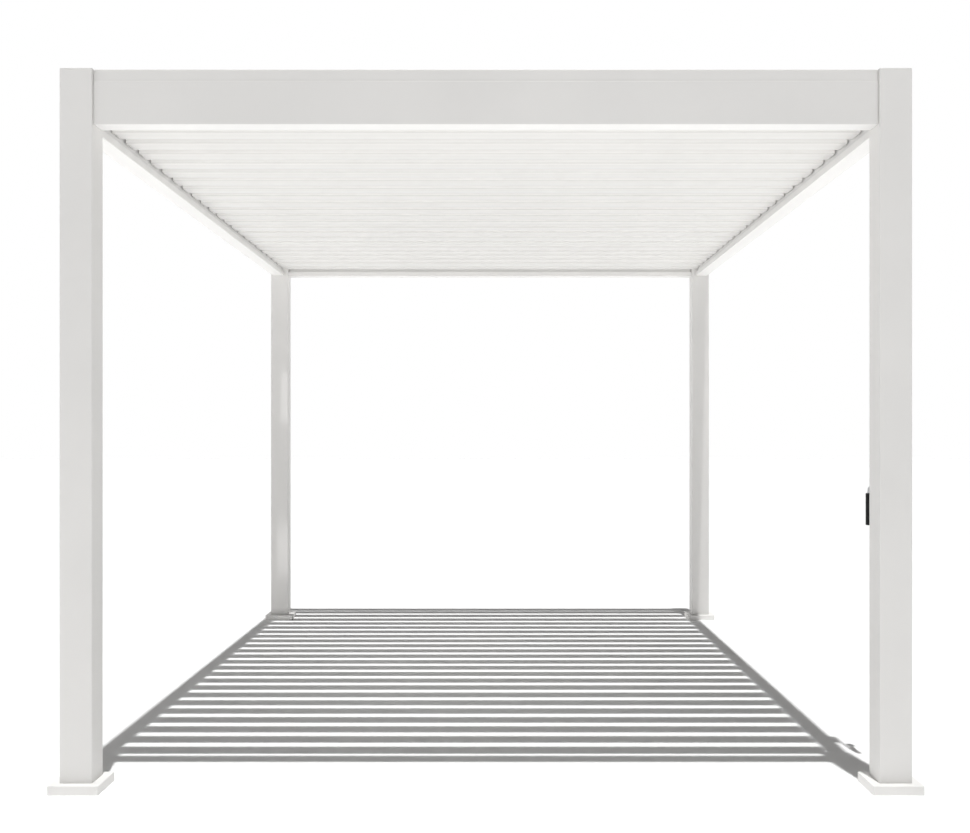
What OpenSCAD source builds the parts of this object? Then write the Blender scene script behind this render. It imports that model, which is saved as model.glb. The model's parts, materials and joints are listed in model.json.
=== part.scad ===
// Louvred garden pergola: four posts, a frame of gutter beams, and a roof of
// slats that a hand crank tilts together from flat to upright.
// Millimetres. Origin on the ground under the middle of the roof.
// +X to the right, +Y to the rear, +Z up. The front is at -Y.

/* [Overall size] */
// Width over the posts
pergola_w = 3000; // [2400:10:3600]
// Length over the posts, front to rear
pergola_l = 4000; // [3200:10:4800]
// Height from the ground to the top of the beams
pergola_h = 2550; // [2100:10:3100]

/* [Posts and feet] */
// Side of a square post
post_w = 115; // [95:1:140]
// Wall of a post
post_wall = 2.5; // [2:0.1:4]
// Thickness of the cap that closes a post
cap_t = 4; // [3:0.5:8]
// Length of the cap's plug inside the post
cap_plug_h = 12; // [6:1:30]
// Clearance between the plug and the post, each side
plug_gap = 0.3; // [0.1:0.05:0.8]
// Side of a foot cover
foot_w = 180; // [165:1:220]
// Height of a foot cover
foot_h = 33; // [25:1:60]
// Wall of a foot cover
foot_wall = 3; // [2:0.5:5]
// Clearance between a foot cover and its post, each side
foot_gap = 0.3; // [0.1:0.05:0.8]
// Side of the base plate under a post
plate_w = 160; // [150:1:170]
// Thickness of the base plate
plate_t = 8; // [5:1:12]
// Distance between anchor holes along a side of the base plate
anchor_pitch = 138; // [136:1:144]
// Diameter of an anchor hole
anchor_d = 11; // [8:0.5:13]

/* [Beams] */
// How far the beams' outer faces stand back from the posts'
setback = 12.5; // [8:0.5:16]
// Height of a beam
beam_h = 196; // [160:1:240]
// Width of the beam's closed box
box_w = 40; // [33:1:50]
// Width of the gutter on the inner side of the left and right beams
side_gutter_w = 36; // [34:1:44]
// Width of the gutter on the inner side of the front and rear beams
end_gutter_w = 46; // [38:1:56]
// Height of the gutter's lip
lip_h = 27; // [22:1:33]
// Wall of a beam
beam_wall = 2.5; // [2:0.1:4]
// Height of the recessed strip along the top of the outer face
strip_h = 43; // [30:1:60]
// Depth of that recess
strip_depth = 4; // [1:0.5:8]

/* [Louvres] */
// How many louvres there are
louvre_count = 23; // [16:1:28]
// Width of a louvre
louvre_w = 106; // [88:1:128]
// Thickness of a louvre over its edge lips
louvre_t = 26; // [20:1:32]
// Wall of a louvre
louvre_wall = 1.8; // [1.4:0.1:2.5]
// Chamfer along a louvre's upper edges
louvre_chamfer = 3; // [2:0.5:5]
// Radius of a louvre's lower edges
louvre_round = 6; // [4:0.5:8]
// Width of the raised lips along the top edges
edge_lip_w = 4; // [3:0.5:8]
// Height of those lips
edge_lip_h = 2; // [1:0.5:4]
// Groove in the underside, from the front edge to the groove's centre
groove_in = 20; // [12:1:30]
// Width of the groove
groove_w = 3; // [2:0.5:5]
// Depth of the groove
groove_depth = 1; // [0.5:0.1:1.2]
// Thickness of a louvre's end cap
end_cap_t = 3; // [2:0.5:6]
// Gap between a louvre's end and the side gutters' lips
end_gap = 3; // [2:0.5:6]
// Least gap between the first louvre's swing and the front gutter's lip
edge_gap = 15; // [12:0.5:22]
// Least gap between the first louvre's swing and the posts
post_gap = 5; // [4:0.5:12]
// Gap between the top of the gutter lips and the flat louvres
louvre_rise = 16; // [13:1:20]

/* [Pivots] */
// Diameter of a pivot pin
pin_d = 10; // [8:0.5:12]
// Radial clearance of a pin in its bush
pin_gap = 0.05; // [0.02:0.01:0.1]
// Outside diameter of a bush
bush_d = 16; // [14.5:0.5:19]
// Clearance between a bush and its hole, each side
bush_gap = 0.05; // [0.02:0.01:0.1]
// Diameter of the bush's flange
flange_d = 20; // [20:0.5:24]
// Thickness of the bush's flange
flange_t = 1.5; // [1:0.5:3]
// How far a pin stands out behind its bush
pin_tail = 1; // [0.5:0.5:2]
// Thickness of a pivot rail
rail_t = 7; // [6:0.5:9]
// Gap between the gutter lip and the rail, side to side
rail_gap = 2.5; // [2:0.5:4]
// Height of the rail below a bush's hole
rail_margin = 10; // [8:1:12]
// How far the rail and its cover run on past the end pivots, leaving the gutter open
rail_overrun = 16; // [14:1:20]
// Thickness of the cover that carries a rail
rail_cover_t = 3; // [2:0.5:4]
// Gap between the cover and the top of the link bar's swing
swing_gap = 8; // [5:1:12]
// Height of the cover's flange, which is screwed to the beam
cover_flange_h = 24; // [20:1:30]

/* [Link bar] */
// Distance between a louvre's pivot and its rivet
lever_r = 40; // [33:1:48]
// Lean of the levers from upright while the louvres are flat
lever_lean = 45; // [35:1:55]
// Thickness of a lever
lever_t = 4; // [3:0.5:6]
// Width of a lever
lever_w = 10; // [8:0.5:12]
// Gap between the rail and a lever
lever_gap = 3; // [2:0.5:5]
// Diameter of a lever's hub
hub_d = 18; // [16:0.5:22]
// Diameter of a lever's outer end
lever_end_d = 14; // [12.5:0.5:17]
// Diameter of a rivet
rivet_d = 6; // [5:0.5:7]
// Radial clearance of a rivet in the link bar
rivet_gap = 0.05; // [0.02:0.01:0.1]
// Diameter of a rivet's head
rivet_head_d = 10; // [9:0.5:12]
// Thickness of a rivet's head
rivet_head_t = 1.5; // [1:0.5:3]
// Height of the link bar
bar_h = 16; // [13.5:0.5:19]
// Thickness of the link bar
bar_t = 5; // [4:0.5:6]
// Side play of the link bar on its rivets
bar_play = 0.5; // [0.3:0.1:1]
// Length of the link bar past its end rivets
bar_end = 12; // [10:1:14]
// Least gap between the link bar and the front post
bar_post_gap = 5; // [5:1:10]

/* [Crank drive] */
// The louvre that the gearbox turns, counted from the front
drive_louvre = 2; // [2:1:4]
// Diameter of the drive shaft
shaft_d = 12; // [10:0.5:14]
// Radial clearance of the drive shaft in the gearbox
shaft_gap = 0.05; // [0.02:0.01:0.1]
// Clearance round the drive shaft where it passes the beam
shaft_hole_gap = 2.5; // [1.5:0.5:4]
// Depth of the drive shaft in the gearbox
shaft_depth = 11; // [8:0.5:13]
// Size of the gearbox along the beam
gearbox_l = 97; // [80:1:116]
// Height of the gearbox
gearbox_h = 80; // [67:1:96]
// How far the gearbox stands out from the beam
gearbox_t = 25.5; // [24:0.5:31]
// Chamfer of the gearbox corners
gearbox_chamfer = 8; // [4:1:12]
// Diameter of the round cover on the gearbox
gear_cover_d = 56; // [45:1:66]
// Thickness of the round cover
gear_cover_t = 2; // [1:0.5:4]
// Diameter of the neck under the gearbox
neck_d = 22; // [18:1:24]
// Length of the neck
neck_h = 8; // [5:1:12]
// Distance between the beam and the crank's axis
crank_out = 13.75; // [13.5:0.25:15]
// Diameter of the spindle in the neck
spindle_d = 10; // [8:0.5:11]
// Radial clearance of the spindle
spindle_gap = 0.05; // [0.02:0.01:0.1]
// How deep the spindle goes into the gearbox, above the neck
spindle_depth = 24; // [15:1:26]
// How much deeper the gearbox is bored than the shaft or spindle goes
bore_rest = 1; // [0.5:0.5:3]
// Thickness of the wire in the eye and the hook
eye_wire_d = 5; // [4:0.5:5.5]
// Radius of the eye and of the hook, to the middle of the wire
eye_r = 6; // [5.75:0.25:6.25]
// Gap between the neck and the eye
eye_drop = 1.5; // [1:0.5:3]
// Clearance between the eye and the hook that hangs in it
hook_gap = 0.2; // [0.1:0.05:0.3]
// How far round the hook's wire goes, in degrees
hook_turn = 290; // [270:5:300]

/* [Crank handle] */
// Diameter of the crank rod
rod_d = 12; // [10:0.5:14]
// Height of the corner where the rod turns into the arm
arm_top_z = 1105; // [1000:5:1250]
// Drop of the arm from the rod to the grip
arm_drop = 58; // [40:1:70]
// Reach of the arm, which is the radius that the grip swings on
arm_reach = 140; // [117:1:168]
// Radius of the rod's two bends
bend_r = 18; // [15:1:22]
// Diameter of the grip
grip_d = 25; // [21:0.5:30]
// Length of the grip
grip_l = 126; // [105:1:150]
// Gap between the lower bend and the grip
grip_drop = 4; // [2:1:10]
// Diameter of the sleeve on the rod
sleeve_d = 22; // [18.5:0.5:26.5]
// Length of the sleeve
sleeve_l = 430; // [350:5:520]
// Gap between the upper bend and the sleeve
sleeve_rise = 4; // [2:1:10]
// Radial clearance of the grip and the sleeve on the rod
grip_gap = 0.1; // [0.05:0.05:0.3]
// Chamfer at the ends of the grip and the sleeve
grip_chamfer = 3; // [1:0.5:4]
// Thickness of the grip's closed end
grip_end_t = 6; // [4:1:10]
// Gap between the rod's end and the grip's closed end
rod_end_gap = 1; // [0.5:0.5:3]

/* [Hidden] */
$fn = 48;
function louvre_name(i) = str("louvre_", i < 10 ? "0" : "", i);

powder_white = [0.93, 0.93, 0.92];
bare_steel = [0.72, 0.73, 0.75];
grip_black = [0.08, 0.08, 0.09];
nylon_grey = [0.55, 0.55, 0.56];
over = 1; // how far a cut runs past its face, and a joined shape into its neighbour

// Posts
post_x = (pergola_w - post_w) / 2;
post_y = (pergola_l - post_w) / 2;
post_face_x = pergola_w / 2 - post_w;
post_face_y = pergola_l / 2 - post_w;
post_top = pergola_h - cap_t;

// Beams
beam_z = pergola_h - beam_h;
lip_top = beam_z + lip_h;
beam_face_x = pergola_w / 2 - setback;
wall_x = beam_face_x - box_w;
lip_x = wall_x - side_gutter_w;
lip_y = pergola_l / 2 - setback - box_w - end_gutter_w;

// Levers: where the rivet lies from the pivot
rivet_dy = -lever_r * sin(lever_lean);
rivet_dz = lever_r * cos(lever_lean);

// Louvres: they swing clear of the gutter lips and the posts
axis_z = lip_top + louvre_rise + louvre_t / 2;
louvre_end_x = lip_x - end_gap;
swing_r = norm([louvre_w / 2, louvre_t / 2 - min(louvre_chamfer, louvre_round)]);
first_y = -min(
    lip_y - edge_gap - swing_r,
    post_face_y - post_gap - swing_r,
    post_face_y - bar_post_gap - bar_end + rivet_dy
);
louvre_pitch = -2 * first_y / (louvre_count - 1);
function louvre_y(i) = first_y + (i - 1) * louvre_pitch;

// Pivots: the rail hangs from a cover that closes the gutter, over the link bar
rail_end_y = rail_overrun - first_y;
rail_in_x = lip_x + beam_wall + rail_gap;
rail_out_x = rail_in_x + rail_t;
rail_bottom = axis_z - bush_d / 2 - rail_margin;
rail_cover_z = axis_z + lever_r + max(bar_h, lever_end_d) / 2 + swing_gap;
pin_end_x = rail_out_x + pin_tail;

// Link bar
lever_in_x = rail_out_x + lever_gap;
lever_out_x = lever_in_x + lever_t;
bar_in_x = lever_out_x + bar_play;
rivet_head_x = bar_in_x + bar_t + bar_play;

// Crank drive
drive_y = louvre_y(drive_louvre);
crank_x = beam_face_x + crank_out;
gearbox_bottom = axis_z - gearbox_h / 2;
neck_bottom = gearbox_bottom - neck_h;
eye_z = neck_bottom - eye_drop - eye_r - eye_wire_d / 2;
hook_z = eye_z - 2 * eye_r + eye_wire_d + hook_gap;

// Crank handle: the rod runs down, out along a sloping arm, and down again
arm_slope = atan(arm_drop / arm_reach);
arm_turn = 90 - arm_slope;
bend_tangent = bend_r * tan(arm_turn / 2);
arm_length = norm([arm_reach, arm_drop]) - 2 * bend_tangent;
arm_low_z = arm_top_z - arm_drop;
upper_bend_z = arm_top_z + bend_tangent;
lower_bend_z = arm_low_z - bend_tangent;
grip_top = lower_bend_z - grip_drop;
grip_bottom = grip_top - grip_l;
sleeve_bottom = upper_bend_z + sleeve_rise;

module square_tube(w, wall, h) {
    difference() {
        translate([-w / 2, -w / 2, 0]) cube([w, w, h]);
        translate([-w / 2 + wall, -w / 2 + wall, -over])
            cube([w - 2 * wall, w - 2 * wall, h + 2 * over]);
    }
}

// A square plate or block, centred on the Z axis
module slab(w, h) {
    translate([-w / 2, -w / 2, 0]) cube([w, w, h]);
}

// Puts its child at each of the four posts
module at_posts() {
    for (side = [-1, 1], end = [-1, 1])
        translate([side * post_x, end * post_y, 0]) children();
}

// A cylinder that runs along +X from x1 to x2
module rod_along_x(d, x1, x2) {
    translate([x1, 0, 0]) rotate([0, 90, 0]) cylinder(d = d, h = x2 - x1);
}

module post(side, end) {
    color(powder_white)
        translate([side * post_x, end * post_y, plate_t])
            square_tube(post_w, post_wall, post_top - plate_t);
}

module post_caps() {
    plug_w = post_w - 2 * post_wall - 2 * plug_gap;
    color(powder_white)
        at_posts() {
            translate([0, 0, post_top]) slab(post_w, cap_t);
            translate([0, 0, post_top - cap_plug_h])
                square_tube(plug_w, post_wall, cap_plug_h);
        }
}

module foot_cover(side, end) {
    hole_w = post_w + 2 * foot_gap;
    color(powder_white)
        translate([side * post_x, end * post_y, 0])
            difference() {
                slab(foot_w, foot_h);
                translate([0, 0, -over]) slab(foot_w - 2 * foot_wall, foot_h - foot_wall + over);
                translate([0, 0, -over]) slab(hole_w, foot_h + 2 * over);
            }
}

module base_plates() {
    color(bare_steel)
        at_posts()
            difference() {
                slab(plate_w, plate_t);
                for (dx = [-1, 1], dy = [-1, 1])
                    translate([dx * anchor_pitch / 2, dy * anchor_pitch / 2, -over])
                        cylinder(d = anchor_d, h = plate_t + 2 * over);
            }
}

// A beam along X with its outer face on the XZ plane and its gutter towards +Y
module beam(length, gutter_w) {
    top_z = beam_h - strip_h;
    beam_w = box_w + gutter_w;
    rotate([90, 0, 90])
        linear_extrude(length, center = true)
            difference() {
                polygon([
                    [0, 0], [beam_w, 0],
                    [beam_w, lip_h], [beam_w - beam_wall, lip_h],
                    [beam_w - beam_wall, beam_wall], [box_w, beam_wall],
                    [box_w, beam_h], [strip_depth, beam_h],
                    [strip_depth, top_z], [0, top_z]
                ]);
                polygon([
                    [beam_wall, beam_wall], [box_w - beam_wall, beam_wall],
                    [box_w - beam_wall, beam_h - beam_wall],
                    [strip_depth + beam_wall, beam_h - beam_wall],
                    [strip_depth + beam_wall, top_z - beam_wall],
                    [beam_wall, top_z - beam_wall]
                ]);
            }
}

module beam_front() {
    color(powder_white)
        translate([0, -pergola_l / 2 + setback, beam_z]) beam(2 * post_face_x, end_gutter_w);
}

module beam_rear() {
    color(powder_white)
        translate([0, pergola_l / 2 - setback, beam_z])
            rotate(180) beam(2 * post_face_x, end_gutter_w);
}

module beam_left() {
    color(powder_white)
        translate([-beam_face_x, 0, beam_z]) rotate(-90) beam(2 * post_face_y, side_gutter_w);
}

// The right beam lets the drive shaft through its box
module beam_right() {
    color(powder_white)
        difference() {
            translate([beam_face_x, 0, beam_z])
                rotate(90) beam(2 * post_face_y, side_gutter_w);
            translate([0, drive_y, axis_z])
                rod_along_x(
                    shaft_d + 2 * shaft_hole_gap,
                    wall_x - over,
                    beam_face_x + over
                );
        }
}

// The upright rail over the right gutter, with a hole for each bush
module rail() {
    color(powder_white)
        difference() {
            translate([rail_in_x, -rail_end_y, rail_bottom])
                cube([rail_t, 2 * rail_end_y, rail_cover_z - rail_bottom]);
            for (i = [1:louvre_count])
                translate([0, louvre_y(i), axis_z])
                    rod_along_x(bush_d + 2 * bush_gap, rail_in_x - over, rail_out_x + over);
        }
}

module pivot_rails() {
    rail();
    mirror([1, 0, 0]) rail();
}

// The cover on the right rail, with its flange against the beam
module rail_cover() {
    cover_top = rail_cover_z + rail_cover_t;
    flange_top = rail_cover_z + cover_flange_h;
    flange_x = wall_x - rail_cover_t;
    color(powder_white)
        translate([0, rail_end_y, 0])
            rotate([90, 0, 0])
                linear_extrude(2 * rail_end_y)
                    polygon([
                        [rail_in_x, rail_cover_z], [wall_x, rail_cover_z],
                        [wall_x, flange_top], [flange_x, flange_top],
                        [flange_x, cover_top], [rail_in_x, cover_top]
                    ]);
}

module rail_covers() {
    rail_cover();
    mirror([1, 0, 0]) rail_cover();
}

// The bushes of the right rail: a tube through the rail and a flange on its inner face
module bush_row() {
    for (i = [1:louvre_count])
        translate([0, louvre_y(i), axis_z])
            difference() {
                union() {
                    rod_along_x(bush_d, rail_in_x, rail_out_x);
                    rod_along_x(flange_d, rail_in_x - flange_t, rail_in_x);
                }
                rod_along_x(pin_d + 2 * pin_gap, rail_in_x - flange_t - over, rail_out_x + over);
            }
}

module pivot_bushes() {
    color(nylon_grey) {
        bush_row();
        mirror([1, 0, 0]) bush_row();
    }
}

// A rectangle with its corners cut off, centred across and standing on y = 0
module cut_rectangle(w, h, c) {
    polygon([
        [-w / 2 + c, 0], [w / 2 - c, 0], [w / 2, c], [w / 2, h - c],
        [w / 2 - c, h], [-w / 2 + c, h], [-w / 2, h - c], [-w / 2, c]
    ]);
}

// The same, with its two lower corners rounded instead
module slat_section(w, h, c, r) {
    polygon(concat(
        [for (a = [0:18:90]) [-w / 2 + r * (1 - cos(a)), r * (1 - sin(a))]],
        [for (a = [90:-18:0]) [w / 2 - r * (1 - cos(a)), r * (1 - sin(a))]],
        [[w / 2, h - c], [w / 2 - c, h], [-w / 2 + c, h], [-w / 2, h - c]]
    ));
}

// The louvre's outline, seen along the pivot axis, with the front edge at -x
module louvre_outline() {
    translate([0, -louvre_t / 2])
        difference() {
            slat_section(louvre_w, louvre_t, louvre_chamfer, louvre_round);
            translate([-louvre_w / 2 + edge_lip_w, louvre_t - edge_lip_h])
                square([louvre_w - 2 * edge_lip_w, edge_lip_h + over]);
            translate([-louvre_w / 2 + groove_in - groove_w / 2, -over])
                square([groove_w, groove_depth + over]);
        }
}

module louvre_hollow() {
    inner_chamfer = louvre_chamfer - louvre_wall * (2 - sqrt(2));
    translate([0, -louvre_t / 2 + louvre_wall])
        slat_section(
            louvre_w - 2 * louvre_wall,
            louvre_t - edge_lip_h - 2 * louvre_wall,
            inner_chamfer,
            louvre_round - louvre_wall
        );
}

// The lever, with its rivet, that the link bar pulls
module lever() {
    rod_along_x(hub_d, lever_in_x, lever_out_x);
    rotate([lever_lean, 0, 0])
        translate([lever_in_x, -lever_w / 2, 0]) cube([lever_t, lever_w, lever_r]);
    translate([0, rivet_dy, rivet_dz]) {
        rod_along_x(lever_end_d, lever_in_x, lever_out_x);
        rod_along_x(rivet_d, lever_out_x - over, rivet_head_x + over);
        rod_along_x(rivet_head_d, rivet_head_x, rivet_head_x + rivet_head_t);
    }
}

// One louvre: a hollow slat closed by end caps, with a pin at each end and the lever on the right
module louvre(i) {
    drives = i == drive_louvre;
    slat_l = 2 * (louvre_end_x - end_cap_t);
    color(powder_white)
        translate([0, louvre_y(i), axis_z]) {
            difference() {
                rotate([90, 0, 90])
                    linear_extrude(2 * louvre_end_x, center = true) louvre_outline();
                rotate([90, 0, 90])
                    linear_extrude(slat_l, center = true) louvre_hollow();
            }
            rod_along_x(pin_d, -pin_end_x, -louvre_end_x + over);
            rod_along_x(pin_d, louvre_end_x - over, lever_in_x + over);
            lever();
            if (drives)
                rod_along_x(shaft_d, lever_out_x - over, beam_face_x + shaft_depth);
        }
}

module link_bar() {
    bar_l = louvre_y(louvre_count) - first_y + 2 * bar_end;
    color(bare_steel)
        translate([0, rivet_dy, axis_z + rivet_dz])
            difference() {
                translate([bar_in_x, first_y - bar_end, -bar_h / 2]) cube([bar_t, bar_l, bar_h]);
                for (i = [1:louvre_count])
                    translate([0, louvre_y(i), 0])
                        rod_along_x(
                            rivet_d + 2 * rivet_gap,
                            bar_in_x - over,
                            bar_in_x + bar_t + over
                        );
            }
}

// The gearbox on the outer face of the right beam, bored for the drive shaft and the spindle
module crank_gearbox() {
    color(powder_white)
        difference() {
            union() {
                translate([beam_face_x + gearbox_t / 2, drive_y, gearbox_bottom])
                    rotate([90, 0, 90])
                        linear_extrude(gearbox_t, center = true)
                            cut_rectangle(gearbox_l, gearbox_h, gearbox_chamfer);
                translate([0, drive_y, axis_z])
                    rod_along_x(
                        gear_cover_d,
                        beam_face_x + gearbox_t - over,
                        beam_face_x + gearbox_t + gear_cover_t
                    );
                translate([crank_x, drive_y, neck_bottom])
                    cylinder(d = neck_d, h = neck_h + over);
            }
            translate([0, drive_y, axis_z])
                rod_along_x(
                    shaft_d + 2 * shaft_gap,
                    beam_face_x - over,
                    beam_face_x + shaft_depth + bore_rest
                );
            translate([crank_x, drive_y, neck_bottom - over])
                cylinder(
                    d = spindle_d + 2 * spindle_gap,
                    h = over + neck_h + spindle_depth + bore_rest
                );
        }
}

// The spindle that turns in the neck, with the eye on its end
module crank_eye() {
    color(bare_steel)
        translate([crank_x, drive_y, 0]) {
            translate([0, 0, eye_z + eye_r])
                cylinder(d = spindle_d, h = gearbox_bottom + spindle_depth - eye_z - eye_r);
            translate([0, 0, eye_z])
                rotate([90, 0, 90])
                    rotate_extrude() translate([eye_r, 0]) circle(d = eye_wire_d);
        }
}

// Bends a wire of diameter d through an angle, in the YZ plane, from the +Y direction upwards
module bend(r, d, angle) {
    rotate([90, 0, 90])
        rotate_extrude(angle = angle) translate([r, 0]) circle(d = d);
}

// The hook that hangs in the eye, the rod, its offset arm and the stub inside the grip
module crank_rod() {
    stub_end_z = grip_bottom + grip_end_t + rod_end_gap;
    color(bare_steel)
        translate([crank_x, drive_y, 0]) {
            translate([0, 0, hook_z])
                rotate([90, 90, 0])
                    rotate_extrude(angle = hook_turn) translate([eye_r, 0]) circle(d = eye_wire_d);
            translate([0, 0, upper_bend_z])
                cylinder(d = rod_d, h = hook_z - eye_r - upper_bend_z);
            translate([0, bend_r, upper_bend_z])
                rotate([180, 0, 0]) bend(bend_r, rod_d, arm_turn);
            translate([0, bend_tangent * cos(arm_slope), arm_top_z - bend_tangent * sin(arm_slope)])
                rotate([-90 - arm_slope, 0, 0]) cylinder(d = rod_d, h = arm_length);
            translate([0, arm_reach - bend_r, lower_bend_z])
                bend(bend_r, rod_d, arm_turn);
            translate([0, arm_reach, stub_end_z])
                cylinder(d = rod_d, h = lower_bend_z - stub_end_z);
        }
}

// A round grip with chamfered ends, standing on the XY plane
module round_grip(d, l) {
    rotate_extrude()
        polygon([
            [0, 0], [d / 2 - grip_chamfer, 0], [d / 2, grip_chamfer],
            [d / 2, l - grip_chamfer], [d / 2 - grip_chamfer, l], [0, l]
        ]);
}

// The grip at the end of the arm and the sleeve above it, both loose on the rod
module crank_grips() {
    bore_d = rod_d + 2 * grip_gap;
    color(grip_black)
        translate([crank_x, drive_y, 0]) {
            translate([0, arm_reach, grip_bottom])
                difference() {
                    round_grip(grip_d, grip_l);
                    translate([0, 0, grip_end_t]) cylinder(d = bore_d, h = grip_l);
                }
            translate([0, 0, sleeve_bottom])
                difference() {
                    round_grip(sleeve_d, sleeve_l);
                    translate([0, 0, -over]) cylinder(d = bore_d, h = sleeve_l + 2 * over);
                }
        }
}

post(-1, -1);  // post_front_left
post(1, -1);  // post_front_right
post(-1, 1);  // post_rear_left
post(1, 1);  // post_rear_right
post_caps();
foot_cover(-1, -1);  // foot_front_left
foot_cover(1, -1);  // foot_front_right
foot_cover(-1, 1);  // foot_rear_left
foot_cover(1, 1);  // foot_rear_right
base_plates();
beam_front();
beam_rear();
beam_left();
beam_right();
pivot_rails();
rail_covers();
pivot_bushes();
link_bar();
crank_gearbox();
crank_eye();
crank_rod();
crank_grips();
for (i = [1:louvre_count])
    louvre(i);
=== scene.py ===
"""Louvred garden pergola in white powder-coated aluminium, with a hand crank."""

import json
from math import asin, atan2, cos, pi, radians, sin, tan

import bmesh
import bpy
from mathutils import Matrix, Vector


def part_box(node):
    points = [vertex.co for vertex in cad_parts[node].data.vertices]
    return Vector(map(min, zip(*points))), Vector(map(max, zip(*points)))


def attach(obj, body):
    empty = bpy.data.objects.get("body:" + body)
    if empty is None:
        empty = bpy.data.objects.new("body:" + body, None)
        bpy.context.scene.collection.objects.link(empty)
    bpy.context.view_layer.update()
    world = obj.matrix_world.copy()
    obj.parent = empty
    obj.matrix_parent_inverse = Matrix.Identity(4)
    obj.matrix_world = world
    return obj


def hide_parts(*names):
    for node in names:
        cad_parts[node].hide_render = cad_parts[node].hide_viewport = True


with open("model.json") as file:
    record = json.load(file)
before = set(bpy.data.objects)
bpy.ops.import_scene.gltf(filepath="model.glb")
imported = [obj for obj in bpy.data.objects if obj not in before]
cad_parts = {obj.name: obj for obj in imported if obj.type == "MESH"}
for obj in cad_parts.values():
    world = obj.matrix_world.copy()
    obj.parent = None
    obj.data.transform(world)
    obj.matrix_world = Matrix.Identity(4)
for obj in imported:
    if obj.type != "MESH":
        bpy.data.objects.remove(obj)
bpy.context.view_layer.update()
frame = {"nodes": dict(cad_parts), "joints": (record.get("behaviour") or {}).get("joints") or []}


# ---- Camera ----------------------------------------------------------------------------
# A person standing in front of the pergola, close to its middle line, looking level
# to the rear.
camera_data = bpy.data.cameras.new("camera")
camera_data.sensor_width = 36.0
camera_data.lens = 43.27
camera_data.shift_x = -0.00964
camera_data.shift_y = 0.02062
camera_data.clip_end = 400.0
camera = bpy.data.objects.new("camera", camera_data)
camera.location = (0.03, -6.10, 1.253)
camera.rotation_euler = (radians(90), 0, 0)
bpy.context.scene.collection.objects.link(camera)
bpy.context.scene.camera = camera
bpy.context.scene.view_settings.view_transform = "Standard"


# ---- Daylight --------------------------------------------------------------------------
# A plain white studio sky, a little brighter on the left, that fills the shadows, and a
# small high sun from the front that throws the louvres' stripes on the ground.
sky_fill = 0.15
sky_side = 0.28
sun_strength = 3.14
sun_width = radians(0.7)
sun_heading = Vector((-0.0253, 0.159, -1.0))


def shader(tree, kind, grey):
    """A shader node of that kind, in a plain grey."""
    node = tree.nodes.new(kind)
    node.inputs["Color"].default_value = (grey, grey, grey, 1.0)
    return node


def seen_directly(tree):
    """A value that is 1 where a surface is seen directly, in gloss or through glass."""
    path = tree.nodes.new("ShaderNodeLightPath")
    value = path.outputs["Is Camera Ray"]
    for ray in ("Is Glossy Ray", "Is Transmission Ray"):
        either = tree.nodes.new("ShaderNodeMath")
        either.operation = "MAXIMUM"
        tree.links.new(value, either.inputs[0])
        tree.links.new(path.outputs[ray], either.inputs[1])
        value = either.outputs[0]
    return value


def led_out(tree, bounced, direct, kind):
    """Leads two shaders to an output: for bounced light, and for what is seen directly."""
    mix = tree.nodes.new("ShaderNodeMixShader")
    tree.links.new(seen_directly(tree), mix.inputs["Fac"])
    tree.links.new(bounced.outputs[0], mix.inputs[1])
    tree.links.new(direct.outputs[0], mix.inputs[2])
    output = tree.nodes.new(kind)
    tree.links.new(mix.outputs["Shader"], output.inputs["Surface"])


world = bpy.data.worlds.new("studio_sky")
world.use_nodes = True
tree = world.node_tree
tree.nodes.clear()
soft = shader(tree, "ShaderNodeBackground", 1.0)
around = tree.nodes.new("ShaderNodeTexCoord")
split = tree.nodes.new("ShaderNodeSeparateXYZ")
tree.links.new(around.outputs["Generated"], split.inputs["Vector"])
leftward = tree.nodes.new("ShaderNodeMath")
leftward.operation = "MULTIPLY_ADD"
leftward.use_clamp = True
leftward.inputs[1].default_value = -sky_side
leftward.inputs[2].default_value = sky_fill
tree.links.new(split.outputs["X"], leftward.inputs[0])
tree.links.new(leftward.outputs[0], soft.inputs["Strength"])
white = shader(tree, "ShaderNodeBackground", 1.0)
white.inputs["Strength"].default_value = 1.0
led_out(tree, soft, white, "ShaderNodeOutputWorld")
bpy.context.scene.world = world

sun_data = bpy.data.lights.new("sun", "SUN")
sun_data.energy = sun_strength
sun_data.angle = sun_width
sun = bpy.data.objects.new("sun", sun_data)
sun.rotation_euler = sun_heading.to_track_quat("-Z", "Y").to_euler()
bpy.context.scene.collection.objects.link(sun)


# ---- Ground ----------------------------------------------------------------------------
# A wide, smooth, white studio floor. It isn't part of the pergola.
ground_reach = 60.0
ground_seen = 0.885
ground_bounce = 1.25

mesh = bpy.data.meshes.new("ground")
corners = [(-1, -1), (1, -1), (1, 1), (-1, 1)]
mesh.from_pydata([(x * ground_reach, y * ground_reach, 0) for x, y in corners], [], [(0, 1, 2, 3)])
ground = bpy.data.objects.new("ground", mesh)
bpy.context.scene.collection.objects.link(ground)
ground_finish = bpy.data.materials.new("white_ground")
ground_finish.use_nodes = True
tree = ground_finish.node_tree
tree.nodes.clear()
bounce = shader(tree, "ShaderNodeBsdfDiffuse", ground_bounce)
seen = shader(tree, "ShaderNodeBsdfDiffuse", ground_seen)
led_out(tree, bounce, seen, "ShaderNodeOutputMaterial")
mesh.materials.append(ground_finish)


# ---- Posts -----------------------------------------------------------------------------
# Four square aluminium extrusions with softly rounded corners, powder-coated white.
# Each is screwed to its base plate, and the beams are screwed to its inner faces.
post_corner = 0.004
post_wall = 0.0025

# An edge sharper than this stays crisp
crease = radians(38)

# The values between which a pattern mostly lies, and the colour sockets of a mix node
pattern_low = 0.3
pattern_high = 0.7
mix_factor = 0
mix_first = 6
mix_second = 7
mix_colour = 2


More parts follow.
